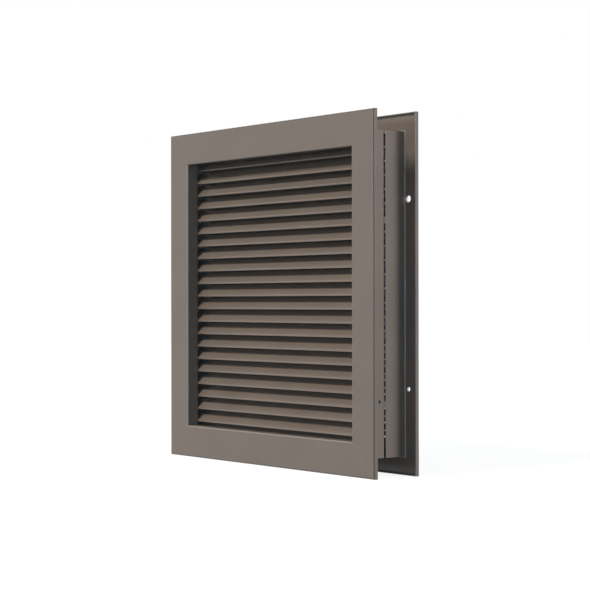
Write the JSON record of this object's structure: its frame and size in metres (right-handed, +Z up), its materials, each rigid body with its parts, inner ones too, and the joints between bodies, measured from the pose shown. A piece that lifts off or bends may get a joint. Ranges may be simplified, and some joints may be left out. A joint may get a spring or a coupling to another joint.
{
  "type": "door louver",
  "caption": "Square sight-proof door louver: two mitred steel frames that clamp a door round a cut-out, with a stack of fixed folded blades between them.",
  "frame": {"origin": "centre of the louver, half way through its depth", "axes": "+X to the right seen from the front, +Y from the front frame to the rear frame, +Z up"},
  "size_m": [0.343, 0.0556, 0.343],
  "materials": {
    "frame": "satin baked enamel on steel",
    "liner": "satin baked enamel on steel",
    "blade": "satin baked enamel on steel"
  },
  "bodies": {
    "root": {"front_top_rail": "frame", "front_bottom_rail": "frame", "front_left_stile": "frame", "front_right_stile": "frame", "rear_top_rail": "frame", "rear_bottom_rail": "frame", "rear_left_stile": "frame", "rear_right_stile": "frame", "front_top_liner": "liner", "front_bottom_liner": "liner", "front_left_liner": "liner", "front_right_liner": "liner", "rear_top_liner": "liner", "rear_bottom_liner": "liner", "rear_left_liner": "liner", "rear_right_liner": "liner", "blade_01": "blade", "blade_02": "blade", "blade_03": "blade", "blade_04": "blade", "blade_05": "blade", "blade_06": "blade", "blade_07": "blade", "blade_08": "blade", "blade_09": "blade", "blade_10": "blade", "blade_11": "blade", "blade_12": "blade", "blade_13": "blade", "blade_14": "blade", "blade_15": "blade", "blade_16": "blade", "blade_17": "blade", "blade_18": "blade", "blade_19": "blade", "blade_20": "blade", "blade_21": "blade", "blade_22": "blade"}
  },
  "joints": []
}
